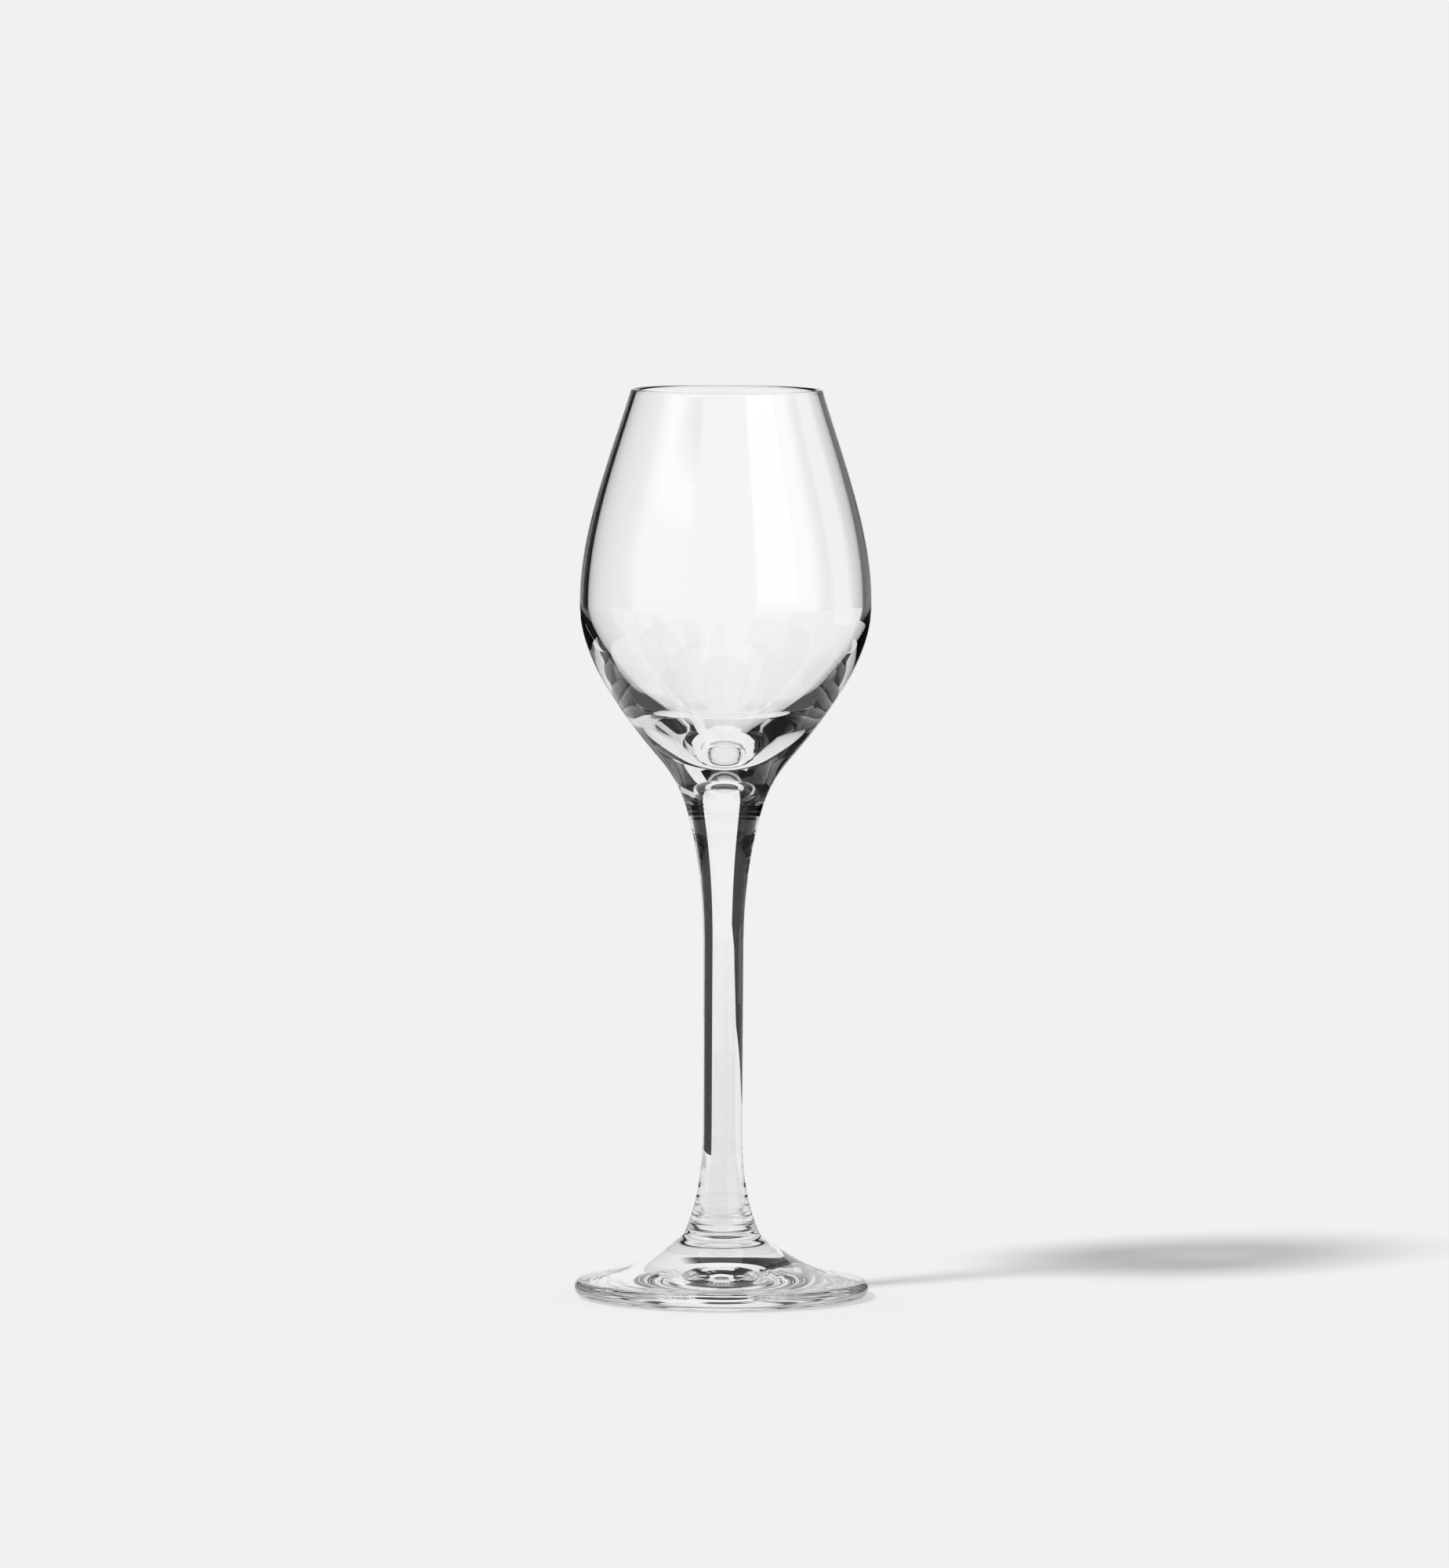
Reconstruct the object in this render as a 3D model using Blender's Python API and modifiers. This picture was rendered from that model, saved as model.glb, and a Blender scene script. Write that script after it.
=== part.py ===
"""Stemmed liqueur glass: a tulip bowl, closed in at the rim, on a slim stem and a round foot.

Metres, +Z up. Every piece is turned about the Z axis, and the foot's resting ring lies on z = 0.
The pieces stand on each other, foot, stem, bowl, each with its own base at the height zero of its
outline. The flat ends that are welded on the real glass face each other across WELD_GAP.
A lean is the change of radius over height, and a fall is the change of height over radius.
"""

import math

import bpy
import numpy as np

NAME = "liqueur_glass"

# Whole glass, from the resting ring to the rim, and the share of it that is bowl
GLASS_HEIGHT = 0.175
BOWL_HEIGHT = 0.0805

# Welds between the pieces
WELD_GAP = 0.0003
LOWER_WELD_DIAMETER = 0.01476
UPPER_WELD_DIAMETER = 0.01476

# Foot
FOOT_DIAMETER = 0.0568
FOOT_HEIGHT = 0.0117
FOOT_FALL_AT_WELD = 0.82
FOOT_FALL_AT_EDGE = 0.05
FOOT_EDGE_THICKNESS = 0.0031
FOOT_EDGE_ROUND = 0.0017
RING_INSET = 0.0011
RING_WIDTH = 0.006
HOLLOW_DEPTH = 0.0025

# Stem, in three stretches from the lower weld up; the shaft takes the length that is left
LOWER_FLARE_HEIGHT = 0.0219
LOWER_FLARE_LEAN = 0.455
SHAFT_LOWER_DIAMETER = 0.00768
SHAFT_UPPER_DIAMETER = 0.00778
UPPER_FLARE_HEIGHT = 0.0265
UPPER_FLARE_LEAN = 0.295

# Bowl, in three stretches from the upper weld up; the shoulder takes the height that is left
WAIST_HEIGHT = 0.0092
WAIST_DIAMETER = 0.02486
WAIST_LEAN = 0.86
BELLY_RISE = 0.0303
BELLY_DIAMETER = 0.0563
RIM_DIAMETER = 0.03724
RIM_LEAN = 0.305

# Hollow of the bowl: a small well in the middle of the floor, a slope up to a bend, then a wall up to
# the belly and the rim. The bend's place is a share of the way from the floor's middle to the belly.
# A rise is the change of height over radius at the end of the well and at the bend.
BELLY_WALL = 0.00165
RIM_WALL = 0.0012
SOLID_BASE = 0.0101
WELL_DIAMETER = 0.017
WELL_DEPTH = 0.0042
WELL_RISE = 0.77
BEND_SHARE_UP = 0.534
BEND_SHARE_OUT = 0.785
BEND_RISE = 1.3

# Fineness of the outlines and of the turning
TURN_STEPS = 48
LONG_STRETCH = 9
SHORT_STRETCH = 5
ROUND_STRETCH = 4
AXIS_MERGE = 0.00005

# Clear glass
GLASS_TINT = (0.95, 0.96, 0.96, 1.0)
GLASS_ROUGHNESS = 0.02
GLASS_IOR = 1.5


def cubic(start, end, count):
    """Points of the cubic between two stations, each (along, across, slope of across over along)."""
    along_start, across_start, slope_start = start
    along_end, across_end, slope_end = end
    share = np.linspace(0.0, 1.0, count + 1)
    rest = 1.0 - share
    span = along_end - along_start
    along = along_start + span * share
    across = across_start * (1.0 + 2.0 * share) * rest**2
    across += across_end * (1.0 + 2.0 * rest) * share**2
    across += span * share * rest * (slope_start * rest - slope_end * share)
    return along, across


def wall(start, end, count=LONG_STRETCH):
    """A stretch of wall whose radius is a cubic of its height, as (radius, height) rows."""
    height, radius = cubic(start, end, count)
    return np.column_stack((radius, height))


def cover(start, end, count=LONG_STRETCH):
    """A stretch of cover whose height is a cubic of its radius, as (radius, height) rows."""
    radius, height = cubic(start, end, count)
    return np.column_stack((radius, height))


def round_over(centre, reach, first, last, count):
    """An arc of an ellipse about a centre, from the first to the last angle above the horizon."""
    angle = np.radians(np.linspace(first, last, count + 1))
    return np.column_stack((centre[0] + reach[0] * np.cos(angle), centre[1] + reach[1] * np.sin(angle)))


def on_axis(height):
    """The point where an outline meets the axis."""
    return np.array([[0.0, height]])


def join(*stretches):
    """One outline from stretches that meet end to end, with each shared point kept once."""
    rows = np.vstack(stretches)
    steps = np.linalg.norm(np.diff(rows, axis=0), axis=1)
    return rows[np.append(True, steps > AXIS_MERGE / 10.0)]


def foot_outline():
    """Top from the lower weld outwards, rounded edge, resting ring and the hollow underneath."""
    weld = LOWER_WELD_DIAMETER / 2.0
    widest = FOOT_DIAMETER / 2.0
    edge = widest - FOOT_EDGE_ROUND
    middle = FOOT_EDGE_THICKNESS / 2.0
    ring_outer = widest - RING_INSET
    ring_inner = ring_outer - RING_WIDTH
    top = cover(
        (weld, FOOT_HEIGHT, -FOOT_FALL_AT_WELD),
        (edge, FOOT_EDGE_THICKNESS, -FOOT_FALL_AT_EDGE),
    )
    upper_edge = round_over((edge, middle), (FOOT_EDGE_ROUND, middle), 90.0, 0.0, ROUND_STRETCH)
    lower_edge = round_over((ring_outer, middle), (RING_INSET, middle), 0.0, -90.0, ROUND_STRETCH)
    hollow = cover(
        (ring_inner, 0.0, -HOLLOW_DEPTH / ring_inner),
        (0.0, HOLLOW_DEPTH, 0.0),
        SHORT_STRETCH,
    )
    return join(on_axis(FOOT_HEIGHT), top, upper_edge, lower_edge, hollow)


def stem_length():
    """Length of the stem from weld to weld: what the foot, the bowl and the two gaps leave."""
    return GLASS_HEIGHT - FOOT_HEIGHT - BOWL_HEIGHT - 2.0 * WELD_GAP


def stem_outline():
    """Upper flare, shaft and lower flare, from the upper weld down."""
    length = stem_length()
    upper_weld = (length, UPPER_WELD_DIAMETER / 2.0, UPPER_FLARE_LEAN)
    shaft_top = (length - UPPER_FLARE_HEIGHT, SHAFT_UPPER_DIAMETER / 2.0, 0.0)
    shaft_end = (LOWER_FLARE_HEIGHT, SHAFT_LOWER_DIAMETER / 2.0, 0.0)
    lower_weld = (0.0, LOWER_WELD_DIAMETER / 2.0, -LOWER_FLARE_LEAN)
    return join(
        on_axis(length),
        wall(upper_weld, shaft_top),
        wall(shaft_top, shaft_end, SHORT_STRETCH),
        wall(shaft_end, lower_weld),
        on_axis(0.0),
    )


def bowl_outline():
    """Cup from its floor up, rounded lip, and the outside down to the upper weld."""
    belly = WAIST_HEIGHT + BELLY_RISE
    lip = RIM_WALL / 2.0
    lip_height = BOWL_HEIGHT - lip
    rim_outer = (lip_height, RIM_DIAMETER / 2.0, -RIM_LEAN)
    rim_inner = (lip_height, RIM_DIAMETER / 2.0 - RIM_WALL, -RIM_LEAN)
    belly_outer = (belly, BELLY_DIAMETER / 2.0, 0.0)
    belly_inner = (belly, BELLY_DIAMETER / 2.0 - BELLY_WALL, 0.0)
    bend_height = SOLID_BASE + BEND_SHARE_UP * (belly - SOLID_BASE)
    bend_radius = BEND_SHARE_OUT * belly_inner[1]
    well_edge = (WELL_DIAMETER / 2.0, SOLID_BASE + WELL_DEPTH, WELL_RISE)
    waist = (WAIST_HEIGHT, WAIST_DIAMETER / 2.0, WAIST_LEAN)
    weld = (0.0, UPPER_WELD_DIAMETER / 2.0, UPPER_FLARE_LEAN)
    return join(
        cover((0.0, SOLID_BASE, 0.0), well_edge, SHORT_STRETCH),
        cover(well_edge, (bend_radius, bend_height, BEND_RISE)),
        wall((bend_height, bend_radius, 1.0 / BEND_RISE), belly_inner, SHORT_STRETCH),
        wall(belly_inner, rim_inner),
        round_over((rim_outer[1] - lip, lip_height), (lip, lip), 180.0, 0.0, ROUND_STRETCH),
        wall(rim_outer, belly_outer),
        wall(belly_outer, waist),
        wall(waist, weld, SHORT_STRETCH),
        on_axis(0.0),
    )


def clear_glass(name):
    """Colourless polished glass."""
    material = bpy.data.materials.new(name)
    material.use_nodes = True
    shader = material.node_tree.nodes["Principled BSDF"]
    shader.inputs["Base Color"].default_value = GLASS_TINT
    shader.inputs["Roughness"].default_value = GLASS_ROUGHNESS
    shader.inputs["Metallic"].default_value = 0.0
    shader.inputs["IOR"].default_value = GLASS_IOR
    shader.inputs["Transmission Weight"].default_value = 1.0
    return material


def turned_piece(name, outline, base_height, axis_empty, collection):
    """A solid turned from its outline about Z, standing with its base at a height."""
    mesh = bpy.data.meshes.new(name)
    points = [(radius, 0.0, height) for radius, height in outline.tolist()]
    mesh.from_pydata(points, [(i, i + 1) for i in range(len(points) - 1)], [])
    mesh.materials.append(clear_glass(name + "_glass"))
    piece = bpy.data.objects.new(name, mesh)
    piece.parent = axis_empty
    piece.location.z = base_height
    collection.objects.link(piece)
    turn = piece.modifiers.new("Turn", "SCREW")
    turn.axis = "Z"
    turn.angle = math.tau
    turn.steps = TURN_STEPS
    turn.render_steps = TURN_STEPS
    turn.use_merge_vertices = True
    turn.merge_threshold = AXIS_MERGE
    turn.use_smooth_shade = True
    return piece


def main():
    for leftover in list(bpy.data.objects):
        bpy.data.objects.remove(leftover, do_unlink=True)
    glass = bpy.data.collections.new(NAME)
    bpy.context.scene.collection.children.link(glass)
    axis_empty = bpy.data.objects.new(NAME + "_axis", None)
    glass.objects.link(axis_empty)
    stem_base = FOOT_HEIGHT + WELD_GAP
    bowl_base = stem_base + stem_length() + WELD_GAP
    turned_piece("foot", foot_outline(), 0.0, axis_empty, glass)
    turned_piece("stem", stem_outline(), stem_base, axis_empty, glass)
    turned_piece("bowl", bowl_outline(), bowl_base, axis_empty, glass)


main()
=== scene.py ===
# %% [markdown]
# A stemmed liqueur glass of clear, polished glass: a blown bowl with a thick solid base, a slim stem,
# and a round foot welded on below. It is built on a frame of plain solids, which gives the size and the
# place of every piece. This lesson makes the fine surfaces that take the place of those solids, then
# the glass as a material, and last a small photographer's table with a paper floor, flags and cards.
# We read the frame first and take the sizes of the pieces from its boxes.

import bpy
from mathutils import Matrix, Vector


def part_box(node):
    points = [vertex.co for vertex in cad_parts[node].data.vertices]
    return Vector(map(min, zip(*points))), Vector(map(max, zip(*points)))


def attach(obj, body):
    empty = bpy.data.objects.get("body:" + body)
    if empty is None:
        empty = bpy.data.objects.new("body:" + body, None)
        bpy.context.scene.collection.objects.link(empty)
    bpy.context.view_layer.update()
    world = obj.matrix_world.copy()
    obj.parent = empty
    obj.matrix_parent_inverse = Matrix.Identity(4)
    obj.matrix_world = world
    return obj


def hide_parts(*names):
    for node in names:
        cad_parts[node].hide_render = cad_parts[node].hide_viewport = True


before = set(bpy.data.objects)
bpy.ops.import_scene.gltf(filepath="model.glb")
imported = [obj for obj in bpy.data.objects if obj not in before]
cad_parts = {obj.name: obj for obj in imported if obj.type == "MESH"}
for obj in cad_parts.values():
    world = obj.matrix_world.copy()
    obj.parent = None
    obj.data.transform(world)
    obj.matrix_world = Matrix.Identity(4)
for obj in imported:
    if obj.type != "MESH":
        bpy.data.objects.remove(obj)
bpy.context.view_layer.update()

# %% Tools for the lesson
import math

import bpy
import numpy as np
from mathutils import Matrix, Vector

scene = bpy.context.scene

# %% [markdown]
# A glass is turned: each piece is one outline carried round the upright axis.
# The sizes that the frame already holds are read from it, so the surfaces stay where the solids are.
# The solids keep a hair's gap at each weld. On the real glass the pieces are fused, so the
# surfaces meet in the middle of that gap, on two flat weld planes.

# %% Sizes from the frame
foot_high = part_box("foot")[1]
stem_low, stem_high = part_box("stem")
bowl_low, bowl_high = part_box("bowl")

LOWER_WELD = (foot_high.z + stem_low.z) / 2.0
UPPER_WELD = (stem_high.z + bowl_low.z) / 2.0
WELD_RADIUS = stem_high.x
FOOT_RADIUS = foot_high.x
BELLY_RADIUS = bowl_high.x
RIM_HEIGHT = bowl_high.z
print("weld planes at", round(LOWER_WELD, 5), round(UPPER_WELD, 5))

# %% [markdown]
# The outline is drawn in stretches. A wall gives its radius as a cubic of its height, and a cover,
# such as the top of the foot, gives its height as a cubic of its radius. A Bezier curve would do as
# well, but a cubic that knows its two ends and the slope at each joins the next one without a crease.
# That matters more on glass than on any other material, because every crease shows up again in what
# is seen through it.

# %% Stretches of an outline
ROW_STEP = 0.0004
FINE_STEP = 0.0002
FEWEST_STEPS = 4
FEWEST_ARC_STEPS = 6
SAME_POINT = FINE_STEP / 2000.0


def smooth_step(s):
    """The smooth step 3s^2 - 2s^3 of a share from 0 to 1: level at both ends."""
    return s * s * (3.0 - 2.0 * s)


def cubic(start, end, step):
    """Cubic from one station to the next, a station being (along, across, slope): the value blends
    from one end to the other with the smooth step, and each end's slope is added with the weights
    s(1-s)^2 and -s^2(1-s)."""
    (a0, v0, m0), (a1, v1, m1) = start, end
    span = a1 - a0
    count = max(FEWEST_STEPS, math.ceil(math.hypot(span, v1 - v0) / step))
    s = np.linspace(0.0, 1.0, count + 1)
    across = v0 + (v1 - v0) * smooth_step(s) + span * s * (1.0 - s) * (m0 * (1.0 - s) - m1 * s)
    return a0 + span * s, across


def wall(start, end, step=ROW_STEP):
    """Rows of (radius, height) where the radius is a cubic of the height."""
    height, radius = cubic(start, end, step)
    return np.column_stack((radius, height))


def cover(start, end, step=ROW_STEP):
    """Rows of (radius, height) where the height is a cubic of the radius."""
    radius, height = cubic(start, end, step)
    return np.column_stack((radius, height))


def arc(centre, reach, first, last, step=FINE_STEP):
    """Rows on an ellipse: centre plus reach times the cosine and the sine of an angle in degrees."""
    length = math.radians(abs(last - first)) * max(reach)
    count = max(FEWEST_ARC_STEPS, math.ceil(length / step))
    angle = np.radians(np.linspace(first, last, count + 1))
    radius = centre[0] + reach[0] * np.cos(angle)
    height = centre[1] + reach[1] * np.sin(angle)
    return np.column_stack((radius, height))


def joined(*stretches):
    """One outline from stretches that meet, with each shared point kept once."""
    rows = np.vstack(stretches)
    steps = np.linalg.norm(np.diff(rows, axis=0), axis=1)
    return rows[np.append(True, steps > SAME_POINT)]


print("outlines are drawn in steps of", ROW_STEP, "and", FINE_STEP)

# %% [markdown]
# Turning an outline gives a grid of points: one parameter runs along the outline, the other round the
# axis. An outline that starts and ends on the axis gives a closed body, with one point at each pole.
# The Screw modifier turns outlines too, but here each point is also moved a little along its normal,
# for the waves of a later step, and that is simplest while the points are still a grid.

# %% The grid of a turned body
ROUND_STEPS = 192
TURN = np.linspace(0.0, 2.0 * np.pi, ROUND_STEPS, endpoint=False)


def outward(rows):
    """Unit normals of an outline that runs down the outside: its direction turned by a right angle."""
    along = np.gradient(rows, axis=0)
    normals = np.column_stack((-along[:, 1], along[:, 0]))
    return normals / np.linalg.norm(normals, axis=1, keepdims=True)


def turned_grid(rows, swell):
    """Points (r cos t, r sin t, h) for each row (r, h) between the two poles and each angle t. The
    swell, a function of r, h and t, first moves the row along the outline's normal."""
    radius, height = rows[1:-1].T[:, :, None]
    out, up = outward(rows)[1:-1].T[:, :, None]
    lift = swell(radius, height, TURN)
    radius = radius + lift * out
    height = height + lift * up
    return np.stack((radius * np.cos(TURN), radius * np.sin(TURN), height), axis=2)


def grid_normals(points):
    """Unit normals of a grid: the cross product of its slopes along the outline and round the axis."""
    along = np.gradient(points, axis=0, edge_order=2)
    around = np.roll(points, -1, axis=1) - np.roll(points, 1, axis=1)
    normals = np.cross(along, around)
    return normals / np.linalg.norm(normals, axis=2, keepdims=True)


print("every body is turned in", ROUND_STEPS, "steps")

# %% [markdown]
# The grid becomes a mesh of four-sided faces with a fan of triangles at each pole.
# A fan that lies on a weld plane is only a lid between two pieces of the same glass. It gets its own
# material slot, so that light can pass it as if it weren't there.
# The normals are worked out from the grid and stored on the mesh. Light then bends as it would on
# the true curve, and not as on the flat faces between the points.

# %% Turn an outline into a mesh
POLE_NORMALS = np.array([[0.0, 0.0, 1.0], [0.0, 0.0, -1.0]])


def grid_faces(row_count):
    """Corners of the faces, where points 0 and 1 are the poles and the grid follows row by row: quads
    between neighbouring rows, and a fan from each pole to the row next to it."""
    index = 2 + np.arange(row_count * ROUND_STEPS).reshape(row_count, ROUND_STEPS)
    after = np.roll(index, -1, axis=1)
    quads = np.stack((index[:-1], index[1:], after[1:], after[:-1]), axis=2).reshape(-1, 4)
    first_fan = np.column_stack((np.full(ROUND_STEPS, 0), index[0], after[0]))
    last_fan = np.column_stack((np.full(ROUND_STEPS, 1), after[-1], index[-1]))
    return quads, first_fan, last_fan


def turned(name, rows, swell, weld_first=False, weld_last=False):
    """Closed body of an outline turned about Z, which runs from the upper or inner pole, down the
    outside, to the lower pole. A fan marked as a weld is flat and takes the second material."""
    grid = turned_grid(rows, swell)
    poles = np.array([[0.0, 0.0, rows[0, 1]], [0.0, 0.0, rows[-1, 1]]])
    points = np.vstack((poles, grid.reshape(-1, 3)))
    quads, *fans = grid_faces(len(grid))
    normals = np.vstack((POLE_NORMALS, grid_normals(grid).reshape(-1, 3)))
    corner_normals = [normals[quads].reshape(-1, 3)]
    for fan, weld, flat in zip(fans, (weld_first, weld_last), POLE_NORMALS):
        corner_normals.append(np.tile(flat, (fan.size, 1)) if weld else normals[fan].reshape(-1, 3))
    slots = np.repeat([0, int(weld_first), int(weld_last)], [len(quads), ROUND_STEPS, ROUND_STEPS])

    mesh = bpy.data.meshes.new(name)
    mesh.from_pydata(points.tolist(), [], quads.tolist() + fans[0].tolist() + fans[1].tolist())
    mesh.polygons.foreach_set("material_index", slots)
    mesh.polygons.foreach_set("use_smooth", np.ones(len(slots), bool))
    mesh.update()
    mesh.normals_split_custom_set(np.vstack(corner_normals).tolist())
    piece = bpy.data.objects.new(name, mesh)
    scene.collection.objects.link(piece)
    print(name, "has", 2 * len(quads) + 2 * ROUND_STEPS, "triangles")
    return piece


print("the fan at a pole has", ROUND_STEPS, "triangles")

# %% [markdown]
# A glass that is worked hot is never quite smooth. Where one piece was pressed on to another, the skin
# keeps fine rings, and a foot that was spread with a wooden paddle keeps a faint wave.
# The waves are hundredths of a millimetre high. They can't be seen on the outline, but glass turns
# every slope into a bright or a dark line, so they are what makes the welds look alive. A bump map
# would not do: light has to bend at the wave itself.

# %% Wave forms
WAVER_START = 1.0
WAVER_COUNT = 3


def bell(value, middle, width):
    """Bell curve of height one: e to the minus of the squared distance from the middle over the width."""
    return np.exp(-(((value - middle) / width) ** 2))


def rings(along, pitch, waver, turn):
    """Rings one pitch apart: the sine of the distance along the outline over the pitch, stronger and
    weaker round the axis by the share of the waver."""
    uneven = 1.0 + waver * (np.sin(turn + WAVER_START) + np.sin(WAVER_COUNT * turn))
    return np.sin(2.0 * np.pi * along / pitch) * uneven


def slanted_waves(waves, along, turn):
    """Sum of waves round the axis, between -1 and 1: for each (count, slant, start, weight) the weight
    times the sine of count times the turn, plus slant times the place along, plus the start."""
    total = sum(weight for count, slant, start, weight in waves)
    return sum(w * np.sin(n * turn + slant * along + start) for n, slant, start, w in waves) / total


print("a bell curve at one width from its middle is", round(float(bell(1.0, 0.0, 1.0)), 3))

# %% [markdown]
# The lower weld is the hub where the stem meets the foot. Its rings are the strongest on the glass,
# because the foot was gathered there and turned while it was soft. The rings of the neck are finer.

# %% Rings at the two welds
HUB_RING_RISE = 0.00003
HUB_RING_PITCH = 0.0014
HUB_RING_REACH = 0.0024
HUB_RING_WAVER = 0.25
NECK_RING_RISE = 0.000016
NECK_RING_PITCH = 0.0011
NECK_RING_REACH = 0.0022
NECK_RING_WAVER = 0.3
NECK_RING_LIFT = 0.001
NECK_RING_SIDE = 2.6
NECK_RING_MEAN = 0.6
NECK_RING_SWING = 0.4


def hub_rings(height, turn):
    """Rings on both sides of the lower weld, fading up the stem and out on the foot."""
    along = height - LOWER_WELD
    strength = HUB_RING_RISE * bell(along, 0.0, HUB_RING_REACH)
    return strength * rings(along, HUB_RING_PITCH, HUB_RING_WAVER, turn)


def neck_rings(height, turn):
    """Rings on both sides of the upper weld, stronger on one side of the glass than on the other."""
    along = height - UPPER_WELD
    lopsided = NECK_RING_MEAN + NECK_RING_SWING * np.cos(turn - NECK_RING_SIDE)
    strength = NECK_RING_RISE * lopsided * bell(along, NECK_RING_LIFT, NECK_RING_REACH)
    return strength * rings(along, NECK_RING_PITCH, NECK_RING_WAVER, turn)


print("rings rise", HUB_RING_RISE, "at the hub and", NECK_RING_RISE, "at the neck")

# %% [markdown]
# The foot is a disc that rises in a soft skirt to the weld. Its edge is fire-polished to a full round,
# it stands on a flat ring, and inside the ring it is hollowed so that it can't rock.
# The paddle's waves grow towards the edge. They only ever take glass away, so the foot stays inside
# the solid that it replaces, and they leave the resting ring flat.

# %% Outline of the foot
FOOT_FALL_AT_WELD = 0.82
FOOT_FALL_AT_EDGE = 0.05
FOOT_EDGE = 0.0031
FOOT_EDGE_ROUND = 0.0017
RING_INSET = 0.0011
RING_WIDTH = 0.006
HOLLOW_DEPTH = 0.0025


def foot_outline():
    """Weld plane, skirt, rounded edge, resting ring and hollow, from the top pole to the lower one."""
    edge = FOOT_RADIUS - FOOT_EDGE_ROUND
    middle = FOOT_EDGE / 2.0
    ring_outer = FOOT_RADIUS - RING_INSET
    ring_inner = ring_outer - RING_WIDTH
    skirt_top = (WELD_RADIUS, LOWER_WELD, -FOOT_FALL_AT_WELD)
    skirt_end = (edge, FOOT_EDGE, -FOOT_FALL_AT_EDGE)
    hollow_edge = (ring_inner, 0.0, -HOLLOW_DEPTH / ring_inner)
    return joined(
        [[0.0, LOWER_WELD]],
        cover(skirt_top, skirt_end, FINE_STEP),
        arc((edge, middle), (FOOT_EDGE_ROUND, middle), 90.0, 0.0),
        arc((ring_outer, middle), (RING_INSET, middle), 0.0, -90.0),
        cover((ring_outer, 0.0, 0.0), (ring_inner, 0.0, 0.0)),
        cover(hollow_edge, (0.0, HOLLOW_DEPTH, 0.0), FINE_STEP),
    )


print("the foot's outline has", len(foot_outline()), "points")

# %% Foot
PADDLE_RISE = 0.00003
PADDLE_START = 0.008
PADDLE_SPAN = 0.018
PADDLE_CLEARANCE = 0.001
PADDLE_WAVES = ((5, 160.0, 0.0, 1.0), (8, -210.0, 1.3, 0.7), (13, 150.0, 0.4, 0.4))


def foot_skin(radius, height, turn):
    """Paddle waves that dip by up to twice their rise, growing with the square of the way out to the
    edge and dying away towards the resting ring, and the hub's rings near the weld."""
    outer = np.clip((radius - PADDLE_START) / PADDLE_SPAN, 0.0, 1.0) ** 2
    free = smooth_step(np.clip(height / PADDLE_CLEARANCE, 0.0, 1.0))
    dips = PADDLE_RISE * outer * free * (slanted_waves(PADDLE_WAVES, radius, turn) - 1.0)
    return hub_rings(height, turn) + dips


foot = turned("foot_glass", foot_outline(), foot_skin, weld_first=True)

# %% [markdown]
# The stem is drawn out of a hot gather, so it is slimmest along its shaft and flares into both welds.
# It carries the rings of both.

# %% Stem
SHAFT_LOWER_RADIUS = 0.00384
SHAFT_UPPER_RADIUS = 0.00389
LOWER_FLARE = 0.0219
UPPER_FLARE = 0.0265
LOWER_FLARE_LEAN = 0.455
UPPER_FLARE_LEAN = 0.295


def stem_outline():
    """Upper flare, shaft and lower flare between the two weld planes."""
    upper_weld = (UPPER_WELD, WELD_RADIUS, UPPER_FLARE_LEAN)
    shaft_top = (UPPER_WELD - UPPER_FLARE, SHAFT_UPPER_RADIUS, 0.0)
    shaft_end = (LOWER_WELD + LOWER_FLARE, SHAFT_LOWER_RADIUS, 0.0)
    lower_weld = (LOWER_WELD, WELD_RADIUS, -LOWER_FLARE_LEAN)
    return joined(
        [[0.0, UPPER_WELD]],
        wall(upper_weld, shaft_top, FINE_STEP),
        wall(shaft_top, shaft_end),
        wall(shaft_end, lower_weld, FINE_STEP),
        [[0.0, LOWER_WELD]],
    )


def stem_skin(radius, height, turn):
    """The rings of both welds."""
    return hub_rings(height, turn) + neck_rings(height, turn)


stem = turned("stem_glass", stem_outline(), stem_skin, weld_first=True, weld_last=True)

# %% [markdown]
# The bowl is blown. Its wall is thin at the rim and a little thicker at the belly. The hollow ends in
# a small well above a solid lens of glass, and from the well a slope runs up to a bend in the wall.
# The lens and the bend make the dark and bright shapes that are seen low in the bowl.

# %% Outline of the bowl
BELLY_HEIGHT = UPPER_WELD + 0.0395
WAIST_HEIGHT = UPPER_WELD + 0.0092
WAIST_RADIUS = 0.01243
WAIST_LEAN = 0.86
RIM_RADIUS = 0.01862
RIM_LEAN = 0.305
BELLY_WALL = 0.00165
RIM_WALL = 0.0012
CUP_FLOOR = UPPER_WELD + 0.01025
WELL_RADIUS = 0.0085
WELL_HEIGHT = UPPER_WELD + 0.01445
WELL_RISE = 0.77
BEND_RADIUS = 0.0208
BEND_HEIGHT = UPPER_WELD + 0.02595
BEND_RISE = 1.3
LIP_STEP = FINE_STEP / 2.0


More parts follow.
